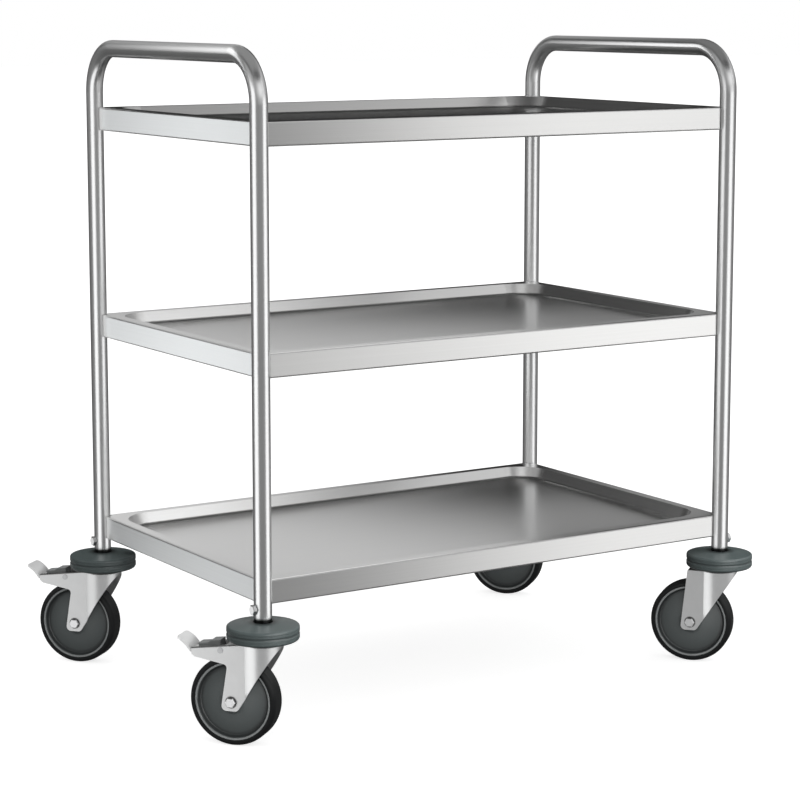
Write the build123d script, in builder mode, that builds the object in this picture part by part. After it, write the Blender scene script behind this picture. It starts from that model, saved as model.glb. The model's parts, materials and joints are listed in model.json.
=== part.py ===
from build123d import *
from math import atan2, cos, degrees, radians, sin
import os

# Three-tier serving trolley. Millimetres, +Z up, floor at z = 0.
# X runs along the long side, Y along the handle bars. The castors stand as they were left:
# all four trail the same way.

# Side frames of bent tube
post_spacing_x = 800.0
post_spacing_y = 500.0
tube_diameter = 25.0
tube_wall = 1.5
handle_bend_radius = 65.0
handle_above_top_rim = 100.0

# Shelves, deep-drawn from sheet
bottom_rim_above_post_foot = 76.4
shelf_pitch = 310.0
apron_height = 34.0
shelf_sheet = 1.2
tray_depth = 17.0
tray_rim_width = 17.0
tray_corner_radius = 50.0
tray_wall_lean = 8.0
tray_floor_radius = 5.0
apron_edge_radius = 2.4
apron_end_radius = 3.0
hem_width = 11.0
hem_corner_radius = 30.0
weld_gap = 0.1

# Wheels
wheel_diameter = 125.0
tyre_width = 31.0
tyre_thickness = 7.5
tyre_shoulder_radius = 6.0
rim_lip_width = 2.8
rim_lip_inset = 0.8
rim_wall_depth = 7.0
rim_wall_lean = 3.2
hub_diameter = 28.0
hub_taper = 4.0
hub_foot_height = 5.6
hub_edge_radius = 1.0
hub_foot_radius = 3.0
web_edge_radius = 2.0
lip_edge_radius = 0.9
bond_gap = 0.05

# Axles
axle_diameter = 8.0
axle_hole_play = 0.1
sleeve_wall = 2.0
running_play = 0.05
hub_side_play = 0.3
axle_hexagon_flats = 13.0
axle_head_height = 4.5
axle_nut_height = 7.0
axle_end_past_nut = 1.5

# Hexagon heads
hexagon_chamfer = 0.8
washer_face_height = 0.6
washer_face_margin = 0.2

# Castor forks, pressed from sheet
castor_trail = 40.0
castor_turn = 130.0
fork_sheet = 2.5
tyre_side_play = 2.0
nose_bulge = 8.0
nose_lip = 4.0
crown_clearance = 20.0
crown_edge_radius = 2.2
foot_below_axle = 12.5
foot_behind_axle = 15.0
foot_ahead_of_axle = 9.0
foot_corner_radius = 7.0
leg_top_behind_axle = 5.0
plain_corner_radius = 3.0

# Arms of the braked forks
arm_behind_axle = 57.5
arm_slope_start = 20.0
arm_end_drop = 10.0
arm_end_height = 8.5
arm_end_bevel_length = 5.0
arm_end_bevel_height = 4.0
arm_root_height = 30.5
arm_root_radius = 6.0
arm_corner_radius = 2.5
arm_slot_inset = 3.0
arm_slot_play = 1.5

# Swivel head
dish_inset = 4.5
dish_depth = 5.0
king_pin_diameter = 12.0
king_pin_hole_play = 1.0
king_pin_end = 1.5
king_washer_thickness = 2.5
king_washer_width = 7.0
ball_ring_width = 7.0
ball_ring_play = 0.05
lower_ring_height = 1.6
lower_ring_width = 5.0
race_boss_play = 2.0
race_gap = 0.4
stem_flange_overlap = 3.0
stem_flange_thickness = 3.8
press_gap = 0.02

# Stems and stem screws
stem_play = 0.1
stem_above_screw = 28.0
stem_chamfer = 2.0
screw_above_foot = 38.0
screw_diameter = 8.0
screw_hexagon_flats = 13.0
screw_head_height = 5.3
screw_head_gap = 0.05
screw_end_gap = 1.0

# Bumper discs
bumper_diameter = 100.0
bumper_rim_height = 20.0
bumper_dome = 5.0
bumper_top_radius = 3.0
bumper_bottom_radius = 4.0
bumper_bore_radius = 1.0
bumper_web = 3.8
bumper_play = 0.3
bumper_bore_play = 0.8
bumper_groove_drop = 9.5
bumper_groove_depth = 1.0
bumper_groove_width = 4.5
bumper_line_spacing = 5.0
bumper_line_radius = 0.5
bumper_wall = 5.0
bumper_hub_wall = 5.0

# Brake pedals
pedal_pin_behind_axle = 15.0
pedal_pin_below_crown = 11.0
pedal_pin_diameter = 6.0
pedal_pin_head_height = 0.8
pedal_pin_head_diameter = 8.0
pedal_travel = 14.0
pedal_sheet = 3.0
pedal_boss_radius = 5.5
pedal_side_play = 0.5
pedal_cheek_inset = 1.0
pedal_arm_gap = 1.5
pedal_plate_start = 3.0
pedal_plate_drop = 5.0
pedal_tab_inset = 2.0
pedal_tab_reach = 10.0
pedal_tab_rise = 14.0
pedal_tip_reach = 12.0
pedal_tip_rise = 4.4
pedal_root_bend = 5.0
pedal_tab_bend = 38.0
pedal_tip_radius = 5.0

# Brake blocks
block_half_width = 10.0
block_top_rise = 12.3
block_top_length = 14.0
block_top_fall = 1.6
block_step_length = 5.5
block_step_drop = 3.8
block_end_inset = 6.5
block_edge_radius = 1.5
block_fit_gap = 0.05
shoe_start = 7.0
shoe_length = 14.0
shoe_half_width = 11.0
shoe_neck_inset = 1.0
shoe_neck_half_width = 7.5
brake_gap = 0.4

# Heights and widths that follow from the sizes above
axle_height = wheel_diameter / 2
crown_top = wheel_diameter + crown_clearance
dish_floor = crown_top - dish_depth
lower_race = dish_floor - fork_sheet - ball_ring_play
king_washer_top = lower_race - lower_ring_height - ball_ring_play
flange_bottom = crown_top + race_gap
flange_top = flange_bottom + stem_flange_thickness
bumper_bottom = flange_top + bumper_play
post_foot = bumper_bottom + bumper_web + bumper_play
screw_height = post_foot + screw_above_foot
bottom_rim_height = post_foot + bottom_rim_above_post_foot
handle_height = bottom_rim_height + 2 * shelf_pitch + handle_above_top_rim
tube_bore_radius = tube_diameter / 2 - tube_wall
stem_radius = tube_bore_radius - stem_play
leg_inside = tyre_width / 2 + tyre_side_play
leg_outside = leg_inside + fork_sheet
nose_radius = leg_outside + nose_bulge
dish_radius = nose_radius - fork_sheet - dish_inset
foot_height = axle_height - foot_below_axle
sleeve_radius = axle_diameter / 2 + axle_hole_play + sleeve_wall
arm_end = castor_trail + arm_behind_axle
pin_x = castor_trail + pedal_pin_behind_axle
pin_z = crown_top - pedal_pin_below_crown
slot_half_width = leg_inside - arm_slot_inset
plate_start = pin_x + pedal_plate_start
plate_end = arm_end + pedal_arm_gap
plate_half_width = slot_half_width - pedal_side_play

# Each castor is drawn standing on the floor with its swivel axis on Z, its wheel trailing along +X
# and its axle along Y, with the bolt's head on the +Y side.
axle_line = Axis((castor_trail, 0, axle_height), (0, 1, 0))
axle_place = Location((castor_trail, axle_height))
pin_place = Location((pin_x, pin_z))


def side_frame():
    """One bent tube: two posts and the handle bar between them, with the holes of the stem screws."""
    half = post_spacing_y / 2
    bar_height = handle_height - tube_diameter / 2
    corners = [(-half, post_foot), (-half, bar_height), (half, bar_height), (half, post_foot)]
    with BuildPart() as frame:
        with BuildLine(Plane.YZ) as centre_line:
            FilletPolyline(*corners, radius=handle_bend_radius)
        with BuildSketch(Plane(origin=(0, -half, post_foot), z_dir=(0, 0, 1))):
            Circle(tube_diameter / 2)
            Circle(tube_bore_radius, mode=Mode.SUBTRACT)
        sweep(path=centre_line.wire())
        with BuildSketch(Plane.YZ):
            with Locations((-half, screw_height), (half, screw_height)):
                Circle(screw_diameter / 2 + stem_play)
        extrude(amount=-tube_diameter, mode=Mode.SUBTRACT)
    return frame.part


def shelf():
    """One tray shelf with its rim at z = 0: apron with a hem, flat rim and a drawn pan."""
    pan_length = post_spacing_x - 2 * tray_rim_width
    pan_width = post_spacing_y - 2 * tray_rim_width
    pan_lean = degrees(atan2(tray_wall_lean, tray_depth))
    downwards = -Plane.XY
    with BuildPart() as tray:
        with BuildSketch() as plan:
            Rectangle(post_spacing_x, post_spacing_y)
            with GridLocations(post_spacing_x, post_spacing_y, 2, 2):
                Circle(tube_diameter / 2 + weld_gap, mode=Mode.SUBTRACT)
            fillet(plan.vertices(), apron_end_radius)
        extrude(amount=-apron_height)
        fillet(tray.faces().filter_by(Plane.XY).edges(), apron_edge_radius)

        # Hollow under the rim, closed round its edge by the hem
        with BuildSketch(Plane.XY.offset(-shelf_sheet)):
            add(plan.sketch)
            offset(amount=-shelf_sheet, kind=Kind.INTERSECTION)
        extrude(amount=2 * shelf_sheet - apron_height, mode=Mode.SUBTRACT)
        with BuildSketch(Plane.XY.offset(-apron_height)):
            mouth_length = post_spacing_x - 2 * hem_width
            mouth_width = post_spacing_y - 2 * hem_width
            RectangleRounded(mouth_length, mouth_width, hem_corner_radius)
        extrude(amount=shelf_sheet, mode=Mode.SUBTRACT)

        # Pan with leaning walls
        with BuildSketch(downwards):
            outer_length = pan_length + 2 * shelf_sheet
            outer_width = pan_width + 2 * shelf_sheet
            RectangleRounded(outer_length, outer_width, tray_corner_radius + shelf_sheet)
        extrude(amount=tray_depth + shelf_sheet, taper=pan_lean)
        with BuildSketch(downwards):
            RectangleRounded(pan_length, pan_width, tray_corner_radius)
        extrude(amount=tray_depth, taper=pan_lean, mode=Mode.SUBTRACT)
        level_faces = tray.faces().filter_by(Plane.XY)
        pan_floor = level_faces.filter_by_position(Axis.Z, -tray_depth, -tray_depth)
        fillet(pan_floor.edges(), tray_floor_radius)
    return tray.part


def hexagon_bolt(diameter, flats, length, head_height):
    """Hexagon bolt along +Z, with the underside of its head at z = 0 and the head below."""
    with BuildPart() as bolt:
        with BuildSketch():
            Circle(flats / 2 - washer_face_margin)
        extrude(amount=-washer_face_height)
        with BuildSketch(Plane.XY.offset(-washer_face_height)):
            RegularPolygon(flats / 2, 6, major_radius=False)
        extrude(amount=washer_face_height - head_height)
        chamfer(bolt.faces().sort_by(Axis.Z)[0].edges(), hexagon_chamfer)
        with BuildSketch():
            Circle(diameter / 2)
        extrude(amount=length)
    return bolt.part


def stem():
    """Castor stem: pin for the post's bore, flange over the swivel head and king pin below it."""
    king_pin_bottom = king_washer_top - king_washer_thickness - king_pin_end
    race_boss_bottom = crown_top - ball_ring_play
    with BuildPart() as pin:
        with BuildSketch(Plane.XY.offset(flange_bottom)):
            Circle(dish_radius + stem_flange_overlap)
        extrude(amount=stem_flange_thickness)
        with BuildSketch(Plane.XY.offset(race_boss_bottom)):
            Circle(dish_radius - race_boss_play)
        extrude(amount=flange_bottom - race_boss_bottom)
        with BuildSketch(Plane.XY.offset(king_pin_bottom)):
            Circle(king_pin_diameter / 2)
        extrude(amount=flange_bottom - king_pin_bottom)
        with BuildSketch(Plane.XY.offset(flange_top)):
            Circle(stem_radius)
        extrude(amount=screw_height + stem_above_screw - flange_top)
        chamfer(pin.faces().sort_by(Axis.Z)[-1].edges(), stem_chamfer)
        with BuildSketch(Plane.YZ):
            with Locations((0, screw_height)):
                Circle(screw_diameter / 2 + stem_play)
        extrude(amount=-tube_diameter, mode=Mode.SUBTRACT)
    return pin.part


def king_washer():
    """Washer riveted to the king pin's end, under the lower ball ring."""
    with BuildPart() as washer:
        with BuildSketch(Plane.XY.offset(king_washer_top)):
            Circle(king_pin_diameter / 2 + king_washer_width)
            Circle(king_pin_diameter / 2 + press_gap, mode=Mode.SUBTRACT)
        extrude(amount=-king_washer_thickness)
    return washer.part


def ball_rings():
    """The two rings of bearing balls: in the dish of the fork's crown and under it."""
    upper_outside = dish_radius - ball_ring_play
    lower_inside = king_pin_diameter / 2 + king_pin_hole_play
    with BuildPart() as rings:
        with BuildSketch(Plane.XY.offset(dish_floor + ball_ring_play)):
            Circle(upper_outside)
            Circle(upper_outside - ball_ring_width, mode=Mode.SUBTRACT)
        extrude(amount=dish_depth - 3 * ball_ring_play)
        with BuildSketch(Plane.XY.offset(lower_race)):
            Circle(lower_inside + lower_ring_width)
            Circle(lower_inside, mode=Mode.SUBTRACT)
        extrude(amount=-lower_ring_height)
    return rings.part


def bumper():
    """Round wall bumper, loose on the stem between its flange and the foot of the post."""
    radius = bumper_diameter / 2
    bore = tube_diameter / 2 + bumper_bore_play
    stem_hole = stem_radius + bumper_play
    web_top = bumper_bottom + bumper_web
    rim_top = bumper_bottom + bumper_rim_height
    section = [
        (stem_hole, bumper_bottom),
        (radius, bumper_bottom),
        (radius, rim_top),
        (bore, rim_top + bumper_dome),
        (bore, web_top),
        (stem_hole, web_top),
    ]
    corner_radii = [0, bumper_bottom_radius, bumper_top_radius, bumper_bore_radius, 0, 0]
    groove_height = rim_top - bumper_groove_drop
    groove_radius = (bumper_groove_width**2 / 4 + bumper_groove_depth**2) / (2 * bumper_groove_depth)
    lines = [(radius, groove_height + bumper_line_spacing), (radius, groove_height - bumper_line_spacing)]
    with BuildPart() as disc:
        with BuildSketch(Plane.XZ):
            with BuildLine():
                FilletPolyline(*section, radius=corner_radii, close=True)
            make_face()
            with Locations((radius - bumper_groove_depth + groove_radius, groove_height)):
                Circle(groove_radius, mode=Mode.SUBTRACT)
            with Locations(*lines):
                Circle(bumper_line_radius, mode=Mode.SUBTRACT)
        revolve(axis=Axis.Z)
        with BuildSketch(Plane.XY.offset(bumper_bottom)):
            Circle(radius - bumper_wall)
            Circle(bore + bumper_hub_wall, mode=Mode.SUBTRACT)
        extrude(amount=bumper_rim_height - bumper_wall, mode=Mode.SUBTRACT)
    return disc.part


def crown_side(top_end, depth, length):
    """Side view of the legs' sheet: level over the swivel, then straight to top_end, down to the foot."""
    end_x, end_z = top_end
    slope = (end_z - crown_top) / (end_x - arm_slope_start)
    level = crown_top - depth
    rear_height = level + slope * (length - arm_slope_start)
    return [
        (0, foot_height),
        (0, level),
        (arm_slope_start, level),
        (length, rear_height),
        (length, foot_height),
    ]


def fork(braked):
    """Pressed fork: a round nose about the swivel axis runs into two flat legs, cut off aslant."""
    foot_rear = castor_trail + foot_behind_axle
    leg_rear = castor_trail + leg_top_behind_axle
    top_end = (arm_end, crown_top - arm_end_drop) if braked else (foot_rear, crown_top)
    foot = [(foot_rear, foot_height), (castor_trail - foot_ahead_of_axle, foot_height)]
    nose_edge = [(-nose_radius, crown_top - nose_lip), (-nose_radius, crown_top)]
    if braked:
        arm_low = top_end[1] - arm_end_height
        outline = [
            *nose_edge,
            (arm_end, crown_top),
            (arm_end, arm_low),
            (arm_end - arm_end_bevel_length, arm_low - arm_end_bevel_height),
            (leg_rear, crown_top - arm_root_height),
            *foot,
        ]
        radii = [0, 0, 0, arm_corner_radius, arm_corner_radius, arm_root_radius]
    else:
        outline = [*nose_edge, (leg_rear, crown_top), *foot]
        radii = [0, 0, plain_corner_radius]
    radii += [foot_corner_radius, foot_corner_radius]

    with BuildPart() as nose:
        with BuildSketch(Plane.XY.offset(foot_height)):
            Circle(nose_radius)
        extrude(amount=crown_top - foot_height)
        fillet(nose.faces().sort_by(Axis.Z)[-1].edges(), crown_edge_radius)

    with BuildPart() as legs:
        with BuildSketch(Plane.XZ):
            Polygon(*crown_side(top_end, 0, top_end[0]), align=None)
        extrude(amount=leg_outside, both=True)
        lengthways = legs.edges().filter_by(Axis.Y, reverse=True).filter_by(Axis.Z, reverse=True)
        fillet(lengthways.filter_by(lambda edge: edge.center().Z > axle_height), crown_edge_radius)

    with BuildPart() as hollow:
        with BuildSketch(Plane.XY.offset(foot_height)):
            Circle(nose_radius - fork_sheet)
        extrude(amount=crown_top - fork_sheet - foot_height)
        with BuildSketch(Plane.XZ):
            Polygon(*crown_side(top_end, fork_sheet, top_end[0] + fork_sheet), align=None)
        extrude(amount=leg_inside, both=True)

    with BuildPart() as pressed:
        add(nose.part)
        add(legs.part)
        add(hollow.part, mode=Mode.SUBTRACT)
        with BuildSketch(Plane.XZ):
            with BuildLine():
                FilletPolyline(*outline, radius=radii, close=True)
            make_face()
        extrude(amount=nose_radius, both=True, mode=Mode.INTERSECT)

        # Dish of the swivel bearing, sunk in the crown, with the king pin's hole
        with BuildSketch(Plane.XY.offset(dish_floor - fork_sheet)):
            Circle(dish_radius + fork_sheet)
        extrude(amount=dish_depth)
        with BuildSketch(Plane.XY.offset(dish_floor)):
            Circle(dish_radius)
        extrude(amount=dish_depth, mode=Mode.SUBTRACT)
        with BuildSketch(Plane.XY.offset(dish_floor)):
            Circle(king_pin_diameter / 2 + king_pin_hole_play)
        extrude(amount=-dish_depth, mode=Mode.SUBTRACT)

        with BuildSketch(Plane.XZ):
            with Locations(axle_place):
                Circle(axle_diameter / 2 + axle_hole_play)
        extrude(amount=leg_outside, both=True, mode=Mode.SUBTRACT)
        if braked:
            with BuildSketch(Plane.XZ):
                with Locations(pin_place):
                    Circle(pedal_pin_diameter / 2 + press_gap)
            extrude(amount=leg_outside, both=True, mode=Mode.SUBTRACT)
            slot_start = pin_x - pedal_boss_radius - arm_slot_play
            with BuildSketch(Plane.XY.offset(crown_top)):
                with Locations(((slot_start + arm_end) / 2, 0)):
                    Rectangle(arm_end - slot_start, 2 * slot_half_width)
            extrude(amount=-arm_end_drop - 2 * fork_sheet, mode=Mode.SUBTRACT)
    return pressed.part


def wheel_core():
    """Moulded wheel body: hub, dished web and a rim with a raised lip."""
    rim_radius = wheel_diameter / 2 - tyre_thickness
    rim_half = tyre_width / 2 - rim_lip_inset
    lip_inside = rim_radius - rim_lip_width
    web_half = rim_half - rim_wall_depth
    hub_half = leg_inside - hub_side_play
    hub_radius = hub_diameter / 2
    bore = sleeve_radius + running_play
    half_section = [
        (bore, 0),
        (bore, hub_half),
        (hub_radius, hub_half),
        (hub_radius + hub_taper, web_half + hub_foot_height),
        (lip_inside - rim_wall_lean, web_half),
        (lip_inside, rim_half),
        (rim_radius, rim_half),
        (rim_radius, 0),
    ]
    hub_radii = [0, 0, hub_edge_radius, hub_foot_radius]
    rim_radii = [web_edge_radius, lip_edge_radius, lip_edge_radius, 0]
    with BuildPart() as core:
        with BuildSketch(Plane((castor_trail, 0, axle_height))):
            with BuildLine():
                FilletPolyline(*half_section, radius=hub_radii + rim_radii, close=True)
            make_face()
            mirror(about=Plane.XZ)
        revolve(axis=axle_line)
    return core.part


def tyre():
    """Solid tyre with rounded shoulders on the wheel's rim."""
    radius = wheel_diameter / 2
    inside = radius - tyre_thickness + bond_gap
    with BuildPart() as tread:
        with BuildSketch(Plane((castor_trail, 0, axle_height))) as section:
            with Locations(((inside + radius) / 2, 0)):
                Rectangle(radius - inside, tyre_width)
            shoulders = section.vertices().sort_by(Axis.X)[-2:]
            fillet(shoulders, tyre_shoulder_radius)
        revolve(axis=axle_line)
    return tread.part


def axle_sleeve():
    """Spacer tube between the fork's legs, on which the wheel runs."""
    with BuildPart() as sleeve:
        with BuildSketch(Plane.XZ):
            with Locations(axle_place):
                Circle(sleeve_radius)
                Circle(axle_diameter / 2 + axle_hole_play, mode=Mode.SUBTRACT)
        extrude(amount=leg_inside - running_play, both=True)
    return sleeve.part


def axle_bolt():
    """Bolt through both legs and the sleeve."""
    length = 2 * (leg_outside + running_play) + axle_nut_height + axle_end_past_nut
    seat = Plane((castor_trail, leg_outside + running_play, axle_height), x_dir=(1, 0, 0), z_dir=(0, -1, 0))
    bolt = hexagon_bolt(axle_diameter, axle_hexagon_flats, length, axle_head_height)
    return bolt.moved(seat.location)


def axle_nut():
    """Self-locking nut on the axle bolt's end."""
    with BuildPart() as nut:
        with BuildSketch(Plane.XZ.offset(leg_outside + running_play)):
            with Locations(axle_place):
                RegularPolygon(axle_hexagon_flats / 2, 6, major_radius=False)
        extrude(amount=axle_nut_height)
        chamfer(nut.faces().sort_by(Axis.Y)[0].edges(), hexagon_chamfer)
        with BuildSketch(Plane.XZ):
            with Locations(axle_place):
                Circle(axle_diameter / 2 + press_gap)
        extrude(amount=2 * leg_outside, mode=Mode.SUBTRACT)
    return nut.part


def pedal_pin():
    """Riveted pin across the fork's arms, on which the pedal turns."""
    half = leg_outside + running_play
    with BuildPart() as pin:
        with BuildSketch(Plane.XZ):
            with Locations(pin_place):
                Circle(pedal_pin_diameter / 2)
        extrude(amount=half, both=True)
        with BuildSketch(Plane.XZ.offset(half), Plane.XZ.offset(-half - pedal_pin_head_height)):
            with Locations(pin_place):
                Circle(pedal_pin_head_diameter / 2)
        extrude(amount=pedal_pin_head_height)
    return pin.part


def plate_height(x):
    """Height of the middle of the pedal's plate at a distance x behind the swivel axis."""
    return pin_z - pedal_plate_drop * (x - plate_start) / (plate_end - plate_start)


def pedal():
    """Pressed pedal: cheeks on the pin, plate between the arms and a wider foot tab that curves up."""
    tab_corner = (plate_end + pedal_tab_reach, plate_height(plate_end) + pedal_tab_rise)
    route = [
        (plate_start, plate_height(plate_start)),
        (plate_end, plate_height(plate_end)),
        tab_corner,
        (tab_corner[0] + pedal_tip_reach, tab_corner[1] + pedal_tip_rise),
    ]
    tab_half_width = leg_outside - pedal_tab_inset
    cheek_half_width = plate_half_width - pedal_cheek_inset
    below_plate = Plane.XY.offset(pin_z - pedal_plate_drop - 2 * pedal_sheet)
    plate_room = pedal_plate_drop + 4 * pedal_sheet
    tip_x = route[-1][0] - pedal_sheet / 2
    plan = [
        (0, -plate_half_width),
        (plate_end, -plate_half_width),
        (plate_end, -tab_half_width),
        (tip_x, -tab_half_width),
        (tip_x, tab_half_width),
        (plate_end, tab_half_width),
        (plate_end, plate_half_width),
        (0, plate_half_width),
    ]
    plan_radii = [0, 0, 0, pedal_tip_radius, pedal_tip_radius, 0, 0, 0]
    window_start = pin_x + shoe_start + shoe_neck_inset - block_fit_gap
    window_length = shoe_length - 2 * shoe_neck_inset + 2 * block_fit_gap
    with BuildPart() as lever:
        with BuildSketch(Plane.XZ):
            with BuildLine() as strip:
                FilletPolyline(*route, radius=[pedal_root_bend, pedal_tab_bend])
            trace(strip.edges(), line_width=pedal_sheet)
        extrude(amount=tab_half_width, both=True)
        with BuildSketch():
            with BuildLine():
                FilletPolyline(*plan, radius=plan_radii, close=True)
            make_face()
        extrude(amount=post_foot, mode=Mode.INTERSECT)

        # Cheeks on the pin
        with BuildSketch(Plane.XZ):
            with Locations(pin_place):
                Circle(pedal_boss_radius)
        extrude(amount=cheek_half_width, both=True)
        with BuildSketch(Plane.XZ):
            with Locations(pin_place):
                Circle(pedal_boss_radius)
        extrude(amount=cheek_half_width - pedal_sheet, both=True, mode=Mode.SUBTRACT)
        with BuildSketch(Plane.XZ):
            with Locations(pin_place):
                Circle(pedal_pin_diameter / 2 + running_play)
        extrude(amount=plate_half_width, both=True, mode=Mode.SUBTRACT)

        # Window for the brake block's neck
        with BuildSketch(below_plate):
            with Locations((window_start + window_length / 2, 0)):
                Rectangle(window_length, 2 * (shoe_neck_half_width + block_fit_gap))
        extrude(amount=plate_room, mode=Mode.SUBTRACT)
    return lever.part


def brake_block():
    """Block set in the pedal's plate: a hump above and below it the shoe for the tyre."""
    off_plate = pedal_sheet / 2 + block_fit_gap
    hump_end = arm_end - block_end_inset
    hump_top = pin_z + block_top_rise
    step_x = plate_start + block_top_length
    step_z = hump_top - block_top_fall
    hump = [
        (plate_start, plate_height(plate_start) + off_plate),
        (plate_start, hump_top),
        (step_x, step_z),
        (step_x + block_step_length, step_z - block_step_drop),
        (hump_end, step_z - block_step_drop - block_top_fall),
        (hump_end, plate_height(hump_end) + off_plate),
    ]
    shoe_from = pin_x + shoe_start
    shoe_to = shoe_from + shoe_length
    shoe = [
        (shoe_from, plate_height(shoe_from) - off_plate),
        (shoe_to, plate_height(shoe_to) - off_plate),
        (shoe_to, axle_height),
        (shoe_from, axle_height),
    ]
    neck_from = shoe_from + shoe_neck_inset
    neck_to = shoe_to - shoe_neck_inset
    neck = [
        (neck_from, plate_height(neck_from) - pedal_sheet),
        (neck_to, plate_height(neck_to) - pedal_sheet),
        (neck_to, plate_height(neck_to) + pedal_sheet),
        (neck_from, plate_height(neck_from) + pedal_sheet),
    ]
    # The wheel's middle as the pressed pedal sees it, for the shoe's hollow face
    back_x = castor_trail - pin_x
    back_z = axle_height - pin_z
    turn = radians(pedal_travel)
    seen_x = pin_x + back_x * cos(turn) - back_z * sin(turn)
    seen_z = pin_z + back_x * sin(turn) + back_z * cos(turn)
    with BuildPart() as block:
        with BuildSketch(Plane.XZ):
            Polygon(*hump, align=None)
        extrude(amount=block_half_width, both=True)
        for side in block.faces().filter_by(Axis.Y):
            fillet(side.edges().sort_by(Axis.Z)[1:], block_edge_radius)
        with BuildSketch(Plane.XZ):
            Polygon(*shoe, align=None)
            with Locations((seen_x, seen_z)):
                Circle(wheel_diameter / 2 + brake_gap, mode=Mode.SUBTRACT)
        extrude(amount=shoe_half_width, both=True)
        with BuildSketch(Plane.XZ):
            Polygon(*neck, align=None)
        extrude(amount=shoe_neck_half_width, both=True)
    return block.part


# The pieces in their places, about the middle of the frame
pieces = {}


def place(node, part, where):
    """Keeps a copy of a part under its node's name."""
    piece = part.moved(where)
    piece.label = node
    pieces[node] = piece


one_frame = side_frame()
place("left_side_frame", one_frame, Location((-post_spacing_x / 2, 0, 0)))
place("right_side_frame", one_frame, Location((post_spacing_x / 2, 0, 0), (0, 0, 180)))

one_shelf = shelf()
for level, name in enumerate(("bottom_shelf", "middle_shelf", "top_shelf")):
    place(name, one_shelf, Location((0, 0, bottom_rim_height + level * shelf_pitch)))

posts = {
    "front_left": (-post_spacing_x / 2, -post_spacing_y / 2),
    "back_left": (-post_spacing_x / 2, post_spacing_y / 2),
    "front_right": (post_spacing_x / 2, -post_spacing_y / 2),
    "back_right": (post_spacing_x / 2, post_spacing_y / 2),
}
braked_castors = ("front_left", "back_left")

# The stem screws have their heads outwards, on the short sides of the trolley
screw_seat = tube_diameter / 2 + screw_head_gap
one_screw = hexagon_bolt(screw_diameter, screw_hexagon_flats, screw_seat - screw_end_gap, screw_head_height)
screws = []
for x, y in posts.values():
    outwards = 1 if x > 0 else -1
    seat = Plane((x + outwards * screw_seat, y, screw_height), x_dir=(0, 1, 0), z_dir=(-outwards, 0, 0))
    screws.append(one_screw.moved(seat.location))
place("stem_screws", Compound(screws), Location())

one_stem = stem()
every_castor = {
    "king_washer": king_washer(),
    "bumper": bumper(),
    "ball_rings": ball_rings(),
    "wheel_core": wheel_core(),
    "tyre": tyre(),
    "axle_sleeve": axle_sleeve(),
    "axle_bolt": axle_bolt(),
    "axle_nut": axle_nut(),
}
plain_castor = {
    **every_castor,
    "fork": fork(braked=False),
}
braked_castor = {
    **every_castor,
    "fork": fork(braked=True),
    "pedal_pin": pedal_pin(),
    "pedal": pedal(),
    "brake_block": brake_block(),
}
for corner, (x, y) in posts.items():
    # The stem turns with its post, so that its hole meets the screw, and the rest with the castor
    place(f"{corner}_stem", one_stem, Location((x, y, 0), (0, 0, 180 if x > 0 else 0)))
    fittings = braked_castor if corner in braked_castors else plain_castor
    for name, part in fittings.items():
        place(f"{corner}_{name}", part, Location((x, y, 0), (0, 0, castor_turn)))

# The origin is on the floor, under the middle of the whole trolley with its castors as they stand
boxes = [piece.bounding_box() for piece in pieces.values()]
middle_x = (min(box.min.X for box in boxes) + max(box.max.X for box in boxes)) / 2
middle_y = (min(box.min.Y for box in boxes) + max(box.max.Y for box in boxes)) / 2
to_origin = Location((-middle_x, -middle_y, 0))

os.makedirs("parts", exist_ok=True)
for node, piece in pieces.items():
    export_step(piece.moved(to_origin), f"parts/{node}.step")
print(len(pieces), "nodes, frame centre at", round(-middle_x, 3), round(-middle_y, 3))
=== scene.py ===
"""Looks of the serving trolley: finishes, floor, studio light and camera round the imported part."""

import json
import math

import bpy
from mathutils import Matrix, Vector


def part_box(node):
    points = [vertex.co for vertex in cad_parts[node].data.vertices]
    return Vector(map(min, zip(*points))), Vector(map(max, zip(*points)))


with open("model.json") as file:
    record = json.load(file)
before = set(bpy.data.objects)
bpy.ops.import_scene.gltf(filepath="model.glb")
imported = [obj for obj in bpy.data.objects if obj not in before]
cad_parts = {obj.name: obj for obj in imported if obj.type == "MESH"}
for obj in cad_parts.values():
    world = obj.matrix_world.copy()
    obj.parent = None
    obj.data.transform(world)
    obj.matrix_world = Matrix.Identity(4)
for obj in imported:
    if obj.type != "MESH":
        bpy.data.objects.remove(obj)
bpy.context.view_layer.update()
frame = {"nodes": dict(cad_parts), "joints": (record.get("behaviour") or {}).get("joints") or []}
nodes = frame["nodes"]
joints = {joint["name"]: joint for joint in frame["joints"]}
scene = bpy.context.scene

corners = ("front_left", "back_left", "front_right", "back_right")
levels = ("top", "middle", "bottom")

white = (1.0, 1.0, 1.0)
cool_white = (0.955, 0.985, 1.0)
warm_white = (1.0, 0.997, 0.99)


def grey(value):
    return (value, value, value)


# Short ways to build a node tree

# Fine lines have this many changes to the metre along them
changes_along_lines = 4.0
# A finish goes from one end of its range to the other between these values of a noise
noise_low = 0.3
noise_high = 0.7


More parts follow.
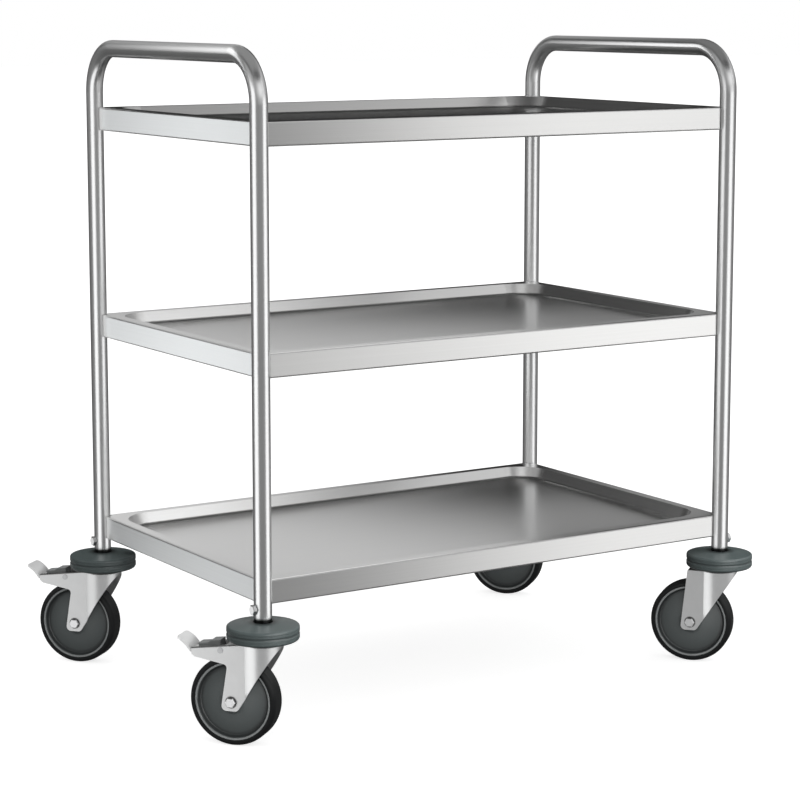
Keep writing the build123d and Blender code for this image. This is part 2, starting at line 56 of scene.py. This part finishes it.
class Tree:
    """A node tree, with short ways to add nodes and join them."""

    def __init__(self, tree):
        self.tree = tree

    def feed(self, value, socket):
        """Joins a node or an output to a socket, or sets the socket to a plain value."""
        if isinstance(value, bpy.types.Node):
            value = value.outputs[0]
        if isinstance(value, bpy.types.NodeSocket):
            self.tree.links.new(value, socket)
        else:
            socket.default_value = value

    def add(self, kind, inputs=None, **settings):
        """A new node of that kind, with its settings and its inputs, which go by name or by number."""
        node = self.tree.nodes.new(kind)
        for name, value in settings.items():
            setattr(node, name, value)
        for socket, value in (inputs or {}).items():
            self.feed(value, node.inputs[socket])
        return node

    def math(self, operation, first, second=0.0):
        return self.add("ShaderNodeMath", {0: first, 1: second}, operation=operation)

    def vector_math(self, operation, first, second=(0.0, 0.0, 0.0)):
        return self.add("ShaderNodeVectorMath", {0: first, 1: second}, operation=operation)

    def blend(self, share, first, second):
        """A mix of two numbers or greys: first at share 0, second at share 1."""
        return self.add("ShaderNodeMix", {0: share, 2: first, 3: second}, data_type="FLOAT")

    def tint(self, share, first, second):
        """A mix of two colours: first at share 0, second at share 1."""
        return self.add("ShaderNodeMix", {0: share, 6: first, 7: second}, data_type="RGBA").outputs[2]

    def ease(self, value, start, end):
        """Goes smoothly from 0, at start, to 1, at end."""
        inputs = {"Value": value, "From Min": start, "From Max": end}
        return self.add("ShaderNodeMapRange", inputs, interpolation_type="SMOOTHSTEP")

    def ramp(self, value, stops):
        """Colours along a value: a list of (place, colour)."""
        node = self.add("ShaderNodeValToRGB", {"Fac": value})
        elements = node.color_ramp.elements
        while len(elements) < len(stops):
            elements.new(1.0)
        for element, (place, colour) in zip(elements, stops):
            element.position = place
            element.color = (*colour, 1.0)
        return node

    def parts(self, vector):
        """The outputs X, Y and Z of a vector."""
        return self.add("ShaderNodeSeparateXYZ", {0: vector}).outputs

    def place(self, stretch=(1.0, 1.0, 1.0)):
        """Where a point is on the part, in metres, stretched along each axis."""
        coordinates = self.add("ShaderNodeTexCoord")
        return self.add("ShaderNodeMapping", {"Vector": coordinates.outputs["Object"], "Scale": stretch})

    def from_axle(self, corner):
        """How far a point is from the axle of that corner's wheel."""
        axle = joints[f"{corner}_wheel_spin"]
        away = self.vector_math("SUBTRACT", self.place(), axle["pos_m"])
        across_axle = self.vector_math("CROSS_PRODUCT", away, axle["axis"])
        return self.vector_math("LENGTH", across_axle).outputs["Value"]

    def noise(self, place, scale, detail):
        inputs = {"Vector": place, "Scale": scale, "Detail": detail}
        return self.add("ShaderNodeTexNoise", inputs).outputs["Fac"]

    def lines(self, changes_across, along):
        """Fine lines along the axis of that number, with so many changes to the metre across them."""
        stretch = [changes_across] * 3
        stretch[along] = changes_along_lines
        return self.noise(self.place(stretch), scale=1.0, detail=1.0)


class Finish(Tree):
    """One material with a Principled shader. A number that is the same all over is set on the shader."""

    def __init__(self, name, **uniform):
        self.material = bpy.data.materials.new(name)
        self.material.use_nodes = True
        super().__init__(self.material.node_tree)
        self.shader = self.tree.nodes["Principled BSDF"]
        for socket, value in uniform.items():
            self.shader.inputs[socket.replace("_", " ")].default_value = value

    def shades(self, value, dark, light):
        """Colours between dark and light, as the value goes through the middle of a noise."""
        return self.ramp(value, [(noise_low, dark), (noise_high, light)])

    def colour(self, colours, unshaded=None, shade_colour=None):
        """Sets the colours, which give way to a painted shade colour where unshaded goes down to 0."""
        if unshaded is not None:
            colours = self.tint(unshaded, (*shade_colour, 1.0), colours)
        self.feed(colours, self.shader.inputs["Base Color"])

    def roughness(self, value, low, high):
        limits = {"From Min": noise_low, "From Max": noise_high, "To Min": low, "To Max": high}
        scaled = self.add("ShaderNodeMapRange", {"Value": value, **limits})
        self.feed(scaled, self.shader.inputs["Roughness"])

    def bump(self, height, depth, strength=1.0):
        inputs = {"Height": height, "Distance": depth, "Strength": strength}
        self.feed(self.add("ShaderNodeBump", inputs), self.shader.inputs["Normal"])


# Steel, which is never smoother than 0.275, because the denoiser leaves grain on smoother metal

# Heights at which a tube's lines start and end their turn from upright to level
tube_turn = (0.9, 0.925)
# Heights above the bumper between which a post goes from a painted shade at its foot to unshaded
foot_painted_shade = (0.003, 0.0075)
tube_lines = 500.0
sheet_lines = 600.0
# A shelf's surface counts as an end when its normal's X part has passed these
end_facing = (0.6, 0.75)
bolt_head_radius = 0.0072
bolt_painted_shadow_width = 0.0025


def drawn_tube():
    """Bright tube with fine lines of drawing and polishing along it: upright on posts, level on bars."""
    finish = Finish("drawn_tube", Metallic=1.0)
    upright = finish.lines(tube_lines, along=2)
    level = finish.lines(tube_lines, along=1)
    height = finish.parts(finish.place())["Z"]
    lines = finish.blend(finish.ease(height, *tube_turn), upright, level)
    bumper_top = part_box("front_left_bumper")[1][2]
    # Painted shade at the foot of each post, just above the bumper
    unshaded = finish.ease(height, *[bumper_top + rise for rise in foot_painted_shade])
    steel = finish.shades(lines, dark=(0.88, 0.885, 0.885), light=(0.9, 0.905, 0.905))
    finish.colour(steel, unshaded, shade_colour=(0.02, 0.021, 0.021))
    finish.roughness(lines, low=0.276, high=0.29)
    finish.bump(lines, depth=8e-7)
    return finish.material


def satin_sheet():
    """Satin sheet, ground along its length: lines along X on floors and long sides, along Y on the ends."""
    finish = Finish("satin_sheet", Metallic=1.0)
    along_x = finish.lines(sheet_lines, along=0)
    along_y = finish.lines(sheet_lines, along=1)
    facing = finish.parts(finish.add("ShaderNodeTexCoord").outputs["Normal"])
    on_end = finish.ease(finish.math("ABSOLUTE", facing["X"]), *end_facing)
    lines = finish.blend(on_end, along_x, along_y)
    clouds = finish.noise(finish.place(), scale=9.0, detail=4.0)
    finish.colour(finish.shades(lines, dark=(0.79, 0.79, 0.785), light=(0.81, 0.81, 0.805)))
    finish.roughness(finish.blend(share=0.4, first=lines, second=clouds), low=0.275, high=0.285)
    finish.bump(lines, depth=2e-6)
    return finish.material


def zinc_sheet(corner):
    """Pressed and zinc-plated sheet: faintly clouded, with a fine grain, and a painted shadow round the axle
    bolt.
    """
    finish = Finish(f"{corner}_zinc_sheet", Metallic=1.0)
    clouds = finish.noise(finish.place(), scale=55.0, detail=5.0)
    grain = finish.noise(finish.place(), scale=1400.0, detail=2.0)
    # Painted shadow in a ring round the axle bolt's head
    unshaded = finish.ease(finish.from_axle(corner), bolt_head_radius, bolt_head_radius + bolt_painted_shadow_width)
    zinc = finish.shades(clouds, dark=(0.76, 0.765, 0.765), light=(0.8, 0.805, 0.805))
    finish.colour(zinc, unshaded, shade_colour=grey(0.1))
    finish.roughness(finish.blend(share=0.5, first=clouds, second=grain), low=0.36, high=0.42)
    finish.bump(grain, depth=1.5e-5, strength=0.6)
    return finish.material


def fastener(name, dark, light):
    """Plated bolts, nuts and pins with faint turning marks."""
    finish = Finish(name, Metallic=1.0)
    marks = finish.noise(finish.place(), scale=180.0, detail=1.0)
    finish.colour(finish.shades(marks, dark, light))
    finish.roughness(marks, low=0.28, high=0.33)
    finish.bump(marks, depth=4e-6)
    return finish.material


# Plastics and rubber

wheel_lip_radius = 0.0555
wheel_unevenness = 0.001
# Colours of a wheel body from its axle out, by share of the lip's radius: painted shade that darkens towards
# the lip and in the hollow inside it, and a painted highlight on the lip
wheel_painted_light_rings = [
    (0.0, (0.086, 0.095, 0.095)),
    (0.5, (0.076, 0.085, 0.085)),
    (0.8, (0.055, 0.062, 0.062)),
    (0.87, (0.026, 0.029, 0.029)),
    (0.93, (0.022, 0.025, 0.025)),
    (0.955, (0.2, 0.21, 0.21)),
    (1.0, (0.2, 0.21, 0.21)),
]
# Radii between which a bumper's top goes from painted shade, at the post, to unshaded
post_painted_shade = (0.013, 0.026)
bumper_side_height = 0.017
bumper_side_blend = 0.0005
# Depths below a bumper's outer face between which its grooves go from painted shade to unshaded
groove_painted_shade = (0.0012, 0.0001)
# How much of the bumper's colour stays in the painted shade of its grooves
groove_unshaded_share = 0.55


def moulded(name, roughness, grain_size, grain_depth):
    """A moulded finish with a fine grain, still without its colour, and the clouds to colour it by."""
    finish = Finish(name)
    clouds = finish.noise(finish.place(), scale=38.0, detail=5.0)
    grain = finish.noise(finish.place(), scale=1.0 / grain_size, detail=2.0)
    finish.roughness(finish.blend(share=0.6, first=clouds, second=grain), *roughness)
    finish.bump(grain, grain_depth)
    return finish, clouds


def brake_block_plastic():
    """Mid-grey plastic of the brake blocks."""
    finish, clouds = moulded("block_plastic", roughness=(0.4, 0.52), grain_size=0.0006, grain_depth=3e-5)
    finish.colour(finish.shades(clouds, dark=(0.15, 0.157, 0.157), light=(0.18, 0.187, 0.187)))
    return finish.material


def black_rubber():
    """Black rubber of the tyres."""
    finish, clouds = moulded("tyre_rubber", roughness=(0.36, 0.5), grain_size=0.0009, grain_depth=3e-5)
    finish.colour(finish.shades(clouds, dark=(0.008, 0.009, 0.0095), light=(0.012, 0.013, 0.0135)))
    return finish.material


def wheel_plastic(corner):
    """Moulded wheel body, with a painted highlight on its lip and painted shade in the hollow inside the
    lip.
    """
    name = f"{corner}_wheel_plastic"
    finish, clouds = moulded(name, roughness=(0.36, 0.48), grain_size=1 / 1700, grain_depth=3e-5)
    unevenness = finish.math("MULTIPLY", clouds, wheel_unevenness)
    radius = finish.math("ADD", finish.from_axle(corner), unevenness)
    finish.colour(finish.ramp(finish.math("DIVIDE", radius, wheel_lip_radius), wheel_painted_light_rings))
    return finish.material


def bumper_plastic(corner):
    """Moulded bumper, with painted shade round the post and in the grooves of its side."""
    low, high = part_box(f"{corner}_bumper")
    centre = ((low[0] + high[0]) / 2, (low[1] + high[1]) / 2, 0.0)
    outer = (high[0] - low[0]) / 2
    side_top = low[2] + bumper_side_height
    name = f"{corner}_bumper_plastic"
    finish, clouds = moulded(name, roughness=(0.28, 0.36), grain_size=1 / 1400, grain_depth=1e-5)
    out = finish.parts(finish.vector_math("SUBTRACT", finish.place(), centre))
    level = finish.add("ShaderNodeCombineXYZ", {0: out["X"], 1: out["Y"]})
    radius = finish.vector_math("LENGTH", level).outputs["Value"]
    from_post = finish.ease(radius, *post_painted_shade)
    out_of_groove = finish.ease(radius, *[outer - depth for depth in groove_painted_shade])
    above_side = finish.ease(out["Z"], side_top - bumper_side_blend, side_top + bumper_side_blend)
    open_face = finish.math("MAXIMUM", out_of_groove, above_side)
    # Painted shade round the post and in the grooves
    unshaded = finish.math("MULTIPLY", from_post, finish.blend(open_face, groove_unshaded_share, 1.0))
    plastic = finish.shades(clouds, dark=(0.062, 0.078, 0.078), light=(0.076, 0.094, 0.093))
    finish.colour(plastic, unshaded, shade_colour=(0.018, 0.021, 0.021))
    return finish.material


# Which finish goes on which node

tube_steel = drawn_tube()
sheet_steel = satin_sheet()
bright_steel = fastener("bright_fastener", dark=(0.91, 0.915, 0.92), light=(0.95, 0.955, 0.96))
pin_steel = fastener("pin_steel", dark=(0.55, 0.555, 0.56), light=(0.59, 0.595, 0.6))
block_plastic = brake_block_plastic()
tyre_rubber = black_rubber()

finishes = {
    "left_side_frame": tube_steel,
    "right_side_frame": tube_steel,
    "stem_screws": bright_steel,
}
castor_finishes = {
    "stem": bright_steel,
    "king_washer": bright_steel,
    "ball_rings": bright_steel,
    "axle_sleeve": bright_steel,
    "axle_bolt": bright_steel,
    "axle_nut": bright_steel,
    "pedal_pin": pin_steel,
    "brake_block": block_plastic,
    "tyre": tyre_rubber,
}
for level in levels:
    finishes[f"{level}_shelf"] = sheet_steel
for corner in corners:
    finishes[f"{corner}_bumper"] = bumper_plastic(corner)
    finishes[f"{corner}_wheel_core"] = wheel_plastic(corner)
    fork_steel = zinc_sheet(corner)
    finishes[f"{corner}_fork"] = fork_steel
    finishes[f"{corner}_pedal"] = fork_steel
    for piece, material in castor_finishes.items():
        finishes[f"{corner}_{piece}"] = material

for name, node in nodes.items():
    node.data.materials.clear()
    node.data.materials.append(finishes[name])


# Floor, which the part doesn't mirror

floor_half = 30.0
floor_glow = 0.74

floor_mesh = bpy.data.meshes.new("floor")
floor_points = [(x * floor_half, y * floor_half, 0.0) for x, y in ((-1, -1), (1, -1), (1, 1), (-1, 1))]
floor_mesh.from_pydata(floor_points, [], [(0, 1, 2, 3)])
floor = bpy.data.objects.new("floor", floor_mesh)
scene.collection.objects.link(floor)
floor_finish = Finish("floor", Emission_Color=(*white, 1.0), Emission_Strength=floor_glow)
floor_speckle = floor_finish.noise(floor_finish.place(), scale=3.0, detail=3.0)
floor_finish.colour(floor_finish.shades(floor_speckle, dark=grey(0.53), light=grey(0.55)))
floor_finish.roughness(floor_speckle, low=0.85, high=0.95)
floor_mesh.materials.append(floor_finish.material)
floor.visible_diffuse = False
floor.visible_glossy = False
floor.visible_shadow = False


# Camera, at the photograph's viewing angle

camera_place = Vector((-1.9436, -3.0784, 1.0122))
camera_yaw = math.radians(32.464)
camera_pitch = math.radians(8.326)
camera_shift = -0.06
focal_pixels = 2426.1
image_pixels = 800
sensor = 36.0

camera_data = bpy.data.cameras.new("camera")
camera_data.sensor_width = sensor
camera_data.lens = focal_pixels / image_pixels * sensor
camera_data.shift_y = camera_shift
camera_data.dof.use_dof = False
camera = bpy.data.objects.new("camera", camera_data)
camera.location = camera_place
camera.rotation_euler = (math.pi / 2 - camera_pitch, 0.0, -camera_yaw)
scene.collection.objects.link(camera)
scene.camera = camera
scene.view_settings.view_transform = "Standard"


# Studio light: panels that each show in one group of pieces, and surroundings that differ with direction

face_down = (0.0, 0.0, 0.0)
no_slope = (0.0, 0.0, 0.0)
usual_most = 1.1


def group(name, members):
    """A set of the part's pieces, for a light that shines on these alone."""
    pieces = bpy.data.collections.new(name)
    for member in members:
        pieces.objects.link(nodes[member])
    return pieces


def ending(*endings):
    """The names of the nodes that end in any of these."""
    return [name for name in nodes if name.endswith(endings)]


def area_light(name, place, turn, size, radiance):
    """A soft rectangular light that the camera doesn't see."""
    data = bpy.data.lights.new(name, "AREA")
    data.shape = "RECTANGLE"
    data.size, data.size_y = size
    data.energy = radiance * math.pi * size[0] * size[1]
    light = bpy.data.objects.new(name, data)
    light.location = place
    light.rotation_euler = turn
    light.visible_camera = False
    scene.collection.objects.link(light)
    return light


def shade(light, pieces, origin, radiance, slope, most):
    """Lights these pieces alone, with the radiance at the origin and its slope along X, Y and Z."""
    light.light_linking.receiver_collection = pieces
    light.data.use_nodes = True
    glow = Tree(light.data.node_tree)
    spot = glow.add("ShaderNodeNewGeometry").outputs["Position"]
    away = glow.vector_math("SUBTRACT", spot, origin)
    change = glow.vector_math("DOT_PRODUCT", away, slope).outputs["Value"]
    strength = glow.add("ShaderNodeClamp", {0: glow.math("ADD", change, radiance), 1: 0.0, 2: most})
    glow.feed(strength, glow.tree.nodes["Emission"].inputs["Strength"])


def panel(name, pieces, start, end, heights, radiance, slope=no_slope, most=usual_most, colour=white):
    """An upright panel over the line from start to end on the floor, with its face to the line's left."""
    along = Vector(end) - Vector(start)
    middle = (Vector(start) + Vector(end)) / 2
    bottom, top = heights
    place = (middle.x, middle.y, (bottom + top) / 2)
    facing = (math.pi / 2, 0.0, math.atan2(along.y, along.x))
    light = area_light(name, place, facing, (along.length, top - bottom), radiance=1.0)
    light.data.color = colour
    shade(light, pieces, (*start, bottom), radiance, slope, most)
    return light


def narrow(light, spread):
    """Narrows a light to a beam of this whole angle, as bright as before straight ahead."""
    half = spread / 2
    light.data.spread = spread
    light.data.energy *= 1.0 - half / math.tan(half)


def ceiling(name, pieces, plan, height, radiance, slope=no_slope, most=usual_most):
    """A level panel that faces down, with the two corners of its plan."""
    corner, far_corner = plan
    size = Vector(far_corner) - Vector(corner)
    middle = (Vector(corner) + Vector(far_corner)) / 2
    light = area_light(name, (*middle, height), face_down, size, radiance=1.0)
    shade(light, pieces, (*corner, height), radiance, slope, most)
    return light


# Light from above, for the floor and whatever isn't metal

overhead_place = (0.0, 0.0, 6.0)
overhead_size = (60.0, 60.0)

overhead_light = area_light("overhead", overhead_place, face_down, overhead_size, radiance=0.85)
overhead_light.visible_glossy = False
not_metal = group("not_metal", ending("_bumper", "_wheel_core", "_tyre", "_brake_block"))
not_metal.objects.link(floor)
overhead_light.light_linking.receiver_collection = not_metal


# Side frames

# On each frame, two panels make the stripes of the posts, two behind make the bar's gleam, and one above
# lightens the bends
post_heights = (-1.0, 1.1)
bends_height = 2.14

left_frame = group("left_frame", ["left_side_frame"])
right_frame = group("right_frame", ["right_side_frame"])
panel("left_frame_left", left_frame, (-1.2, 0.18), (-1.02, -0.52), post_heights, radiance=0.95)
panel("left_frame_right", left_frame, (0.22, -1.68), (1.33, -0.9), post_heights, radiance=0.95)
panel(
    "left_frame_back",
    left_frame,
    start=(-0.45, 1.0),
    end=(-1.4, 1.0),
    heights=(0.95, 1.85),
    radiance=-2.55,
    slope=(-4.8, 0.0, 3.9),
    most=1.6,
)
panel(
    "left_frame_over",
    left_frame,
    start=(0.5, 1.0),
    end=(-0.45, 1.0),
    heights=(1.0, 1.85),
    radiance=0.08,
    slope=(0.0, 0.0, 0.57),
)
panel("right_frame_left", right_frame, (-0.95, 0.4), (-0.74, -0.67), post_heights, radiance=0.9)
panel("right_frame_right", right_frame, (0.08, -3.26), (2.42, -2.3), (-1.5, 1.1), radiance=0.95)
panel(
    "right_frame_back",
    right_frame,
    start=(0.1, 1.0),
    end=(-0.8, 1.0),
    heights=(0.9, 1.6),
    radiance=-3.5,
    slope=(-8.7, 0.0, 2.2),
    most=1.7,
)
panel("right_frame_over", right_frame, (1.3, 1.0), (0.3, 1.0), (1.0, 1.75), radiance=0.3)
ceiling("left_frame_bends", left_frame, ((-1.3, -0.9), (1.2, 1.3)), bends_height, radiance=0.22)
ceiling("right_frame_bends", right_frame, ((-0.5, -0.9), (2.0, 1.3)), bends_height, radiance=0.14)


# Shelves

# The panels that show in the front and the left end of each apron
front_line = -2.0
front_span = (0.2, 2.4)
front_half_height = 0.33
end_line = -1.2
end_span = (2.3, 0.9)
end_drop = 0.3
end_rise = 0.2
# The panels behind a shelf, square to the camera's sight: a tall one at the left and a lower one at the
# right that show in its floor, and one below its rim at the left
back_distance = 0.445
back_half = 0.55
back_split = 0.25
back_rise = 0.3
right_rise = 0.13
low_start = 0.12
low_drop = 0.15
low_radiance = 0.5
back_spread = math.radians(90)
# The panels over a shelf: one over its left edge, and one that shows in the back wall of its pan
over_rim = 0.27
edge_plan = ((-0.75, 0.05), (-0.25, 0.8))
edge_radiance = 0.55
over_plan = ((-0.4, -0.34), (0.9, -0.03))

ahead = Vector((math.sin(camera_yaw), math.cos(camera_yaw)))
across = Vector((math.cos(camera_yaw), -math.sin(camera_yaw)))


def back_panels(level, pieces, rim, left, right, along, up, most):
    """The panels behind one shelf: radiances left and right of the split, slopes along the left and up."""
    middle = ahead * back_distance
    left_end = middle - across * back_half
    low_end = middle - across * low_start
    split = middle + across * back_split
    right_end = middle + across * back_half
    tall_heights = (rim, rim + back_rise)
    right_heights = (rim, rim + right_rise)
    below_rim = (rim - low_drop, rim)
    lights = [
        panel(f"{level}_back", pieces, split, left_end, tall_heights, left, (*across * along, up), most),
        panel(f"{level}_back_right", pieces, right_end, split, right_heights, right, (0.0, 0.0, up), most),
        panel(f"{level}_low", pieces, low_end, left_end, below_rim, low_radiance),
    ]
    for light in lights:
        narrow(light, back_spread)


def shelf_panels(level, front, end, back=None, over=None):
    """The panels of one shelf. Front, end and over are each a radiance, a slope and the most it reaches."""
    pieces = group(level, [f"{level}_shelf"])
    low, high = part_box(f"{level}_shelf")
    rim = high[2]
    apron = (low[2] + rim) / 2
    below_eye = camera_place.z - apron
    front_height = apron - below_eye * (low[1] - front_line) / (low[1] - camera_place.y)
    end_height = apron - below_eye * (low[0] - end_line) / (low[0] - camera_place.x)
    front_points = [(x, front_line) for x in front_span]
    front_heights = (front_height - front_half_height, front_height + front_half_height)
    end_points = [(end_line, y) for y in end_span]
    end_heights = (end_height - end_drop, end_height + end_rise)
    panel(f"{level}_front", pieces, *front_points, front_heights, *front, warm_white)
    panel(f"{level}_end", pieces, *end_points, end_heights, *end, cool_white)
    if back:
        back_panels(level, pieces, rim, **back)
        ceiling(f"{level}_edge", pieces, edge_plan, rim + over_rim, edge_radiance)
    if over:
        ceiling(f"{level}_over", pieces, over_plan, rim + over_rim, *over)


shelf_panels(
    "top",
    front=(-1.4, (2.8, 0.0, 0.0), 1.1),
    end=(-0.35, (0.0, -2.3, 0.0), 1.36),
)
shelf_panels(
    "middle",
    front=(0.2, (0.85, 0.0, 0.0), 1.3),
    end=(0.2, (0.0, -1.7, 0.0), 1.42),
    back={"left": -0.6, "right": -0.3, "along": -0.68, "up": 10.5, "most": 1.05},
    over=(1.9, (-2.2, 0.0, 0.0), 0.92),
)
shelf_panels(
    "bottom",
    front=(-0.95, (1.8, 0.0, 0.0), 1.2),
    end=(-1.35, (0.0, -3.1, 0.0), 1.1),
    back={"left": -0.4, "right": -0.12, "along": -1.3, "up": 7.8, "most": 1.05},
    over=(2.3, (-3.0, 0.0, 0.0), 1.05),
)

# Low panels on the other sides, for the aprons that the camera doesn't see, and one high up for the top tray
low_heights = (-2.5, 0.2)
shelves = group("shelves", [f"{level}_shelf" for level in levels])
panel("shelves_right", shelves, (3.0, -2.0), (3.0, 3.0), low_heights, radiance=0.5)
panel("shelves_back", shelves, (3.0, 3.0), (-0.3, 3.0), low_heights, radiance=0.45)
panel("shelves_left", shelves, (-3.5, 1.0), (-3.5, -2.5), low_heights, radiance=0.55)
panel("shelves_corner", shelves, (-3.5, -2.5), (-1.6, -3.6), low_heights, radiance=0.55)
panel("shelves_front", shelves, (-1.6, -3.6), (-0.3, -3.6), (-2.5, 0.9), radiance=0.5)
top_tray = group("top_tray", ["top_shelf"])
panel("top_tray_left", top_tray, (-1.7, 2.0), (-3.6, 2.0), (1.6, 2.9), radiance=0.55)


# Castors

# On each castor's metal, a bright panel shows on the near side of the fork's round nose, a faint one on the
# nose's middle and a third farther round. Each is given as the two facings, in degrees, that mirror its
# ends, and its radiance
metal_pieces = ("fork", "pedal", "axle_bolt", "axle_nut", "pedal_pin", "king_washer", "stem", "ball_rings")
right_fork_panels = ((-184, -152, 1.05), (-150, -100, 0.24), (-98, -75, 0.5))
castor_panels = {
    "front_left": ((-180, -140, 1.02), (-139, -106, 0.2), (-104, -76, 0.8)),
    "back_left": ((-176, -137, 0.74), (-136, -106, 0.2), (-104, -76, 0.7)),
    "front_right": right_fork_panels,
    "back_right": right_fork_panels,
}
ring_radius = 1.2
fork_heights = (-1.2, 0.3)


def mirrored(corner, facing):
    """The place, on a ring round that castor, that a wall facing so many degrees mirrors to the camera."""
    castor = Vector(joints[f"{corner}_wheel_spin"]["pos_m"]).xy
    sight = castor - camera_place.xy
    angle = 2 * math.radians(facing) - math.atan2(sight.y, sight.x) - math.pi
    return castor + ring_radius * Vector((math.cos(angle), math.sin(angle)))


screws = group("screws", ["stem_screws"])
for corner, fork_panels in castor_panels.items():
    metals = group(f"{corner}_metals", ending(*[f"{corner}_{piece}" for piece in metal_pieces]))
    for number, (start, end, radiance) in enumerate(fork_panels):
        ends = (mirrored(corner, start), mirrored(corner, end))
        fork_light = panel(f"{corner}_fork_{number}", metals, *ends, fork_heights, radiance)
        # Nothing but the screws shades it
        fork_light.light_linking.blocker_collection = screws

panel("screw_left", screws, (-1.2, 2.3), (-1.2, 0.0), (-0.6, 0.3), radiance=0.8)
panel("screw_front", screws, (0.97, -1.65), (1.6, -0.3), (-1.2, 0.4), radiance=0.6)

pedals = group("pedals", ending("_pedal", "_brake_block"))
panel("pedal_right", pedals, (-0.4, -0.35), (-0.4, 0.7), (0.16, 0.6), radiance=0.62)

bumpers = group("bumpers", ending("_bumper"))
bumper_over = ceiling("bumper_over", bumpers, ((-0.2, -2.6), (3.2, 0.8)), height=2.6, radiance=1.5, most=4.0)
bumper_over.light_linking.blocker_collection = bumpers
panel("bumper_front", bumpers, (-1.4, -3.2), (2.2, -3.2), (-0.2, 1.6), radiance=3.6, most=4.0)

wheels = group("wheels", ending("_wheel_core"))
panel("wheel_front", wheels, (-2.6, -2.0), (0.8, -3.9), (-0.5, 0.9), radiance=2.6, most=3.0)


# Surroundings

# Greys near the horizon and higher up, by azimuth in degrees, and those overhead and underfoot
low_ring = [
    (-180, 0.2),
    (-10, 0.2),
    (5, 0.15),
    (38, 0.06),
    (48, 0.02),
    (75, 0.02),
    (90, 0.06),
    (150, 0.18),
    (180, 0.2),
]
high_ring = [
    (-180, 0.4),
    (-150, 0.3),
    (-90, 1.0),
    (-62, 0.9),
    (-54, 0.42),
    (-51, 0.5),
    (-48.5, 0.62),
    (-46.5, 1.2),
    (-42, 1.2),
    (-36, 0.6),
    (-30, 0.5),
    (5, 0.45),
    (40, 0.02),
    (95, 0.02),
    (115, 0.05),
    (140, 0.05),
    (160, 0.4),
    (180, 0.4),
]
top_grey = 0.04
floor_grey = 0.1
# Elevations, in degrees, between which one of them gives way to the next
low_to_high = (2, 17)
high_to_top = (37, 43)
low_to_floor = (-24, -40)

world = bpy.data.worlds.new("studio")
scene.world = world
world.use_nodes = True
world.node_tree.nodes.clear()
studio = Tree(world.node_tree)
direction = studio.parts(studio.add("ShaderNodeTexCoord").outputs["Generated"])
azimuth = studio.math("ARCTAN2", direction["Y"], direction["X"])
turn_range = {"From Min": -math.pi, "From Max": math.pi}
turn_share = studio.add("ShaderNodeMapRange", {"Value": azimuth, **turn_range})
elevation = studio.math("ARCSINE", direction["Z"])


def ring(stops):
    """The greys of a ring, all the way round."""
    return studio.ramp(turn_share, [((angle + 180) / 360, grey(value)) for angle, value in stops])


def climb(elevations):
    """Goes from 0 to 1 between two elevations."""
    return studio.ease(elevation, *[math.radians(angle) for angle in elevations])


sides = studio.blend(climb(low_to_high), ring(low_ring), ring(high_ring))
sides_and_top = studio.blend(climb(high_to_top), sides, top_grey)
all_round = studio.blend(climb(low_to_floor), sides_and_top, floor_grey)
surroundings = studio.add("ShaderNodeBackground", {"Color": all_round})
backdrop = studio.add("ShaderNodeBackground", {"Color": (*white, 1.0)})
seen = studio.add("ShaderNodeLightPath").outputs["Is Camera Ray"]
mixed = studio.add("ShaderNodeMixShader", {0: seen, 1: surroundings, 2: backdrop})
studio.add("ShaderNodeOutputWorld", {"Surface": mixed})
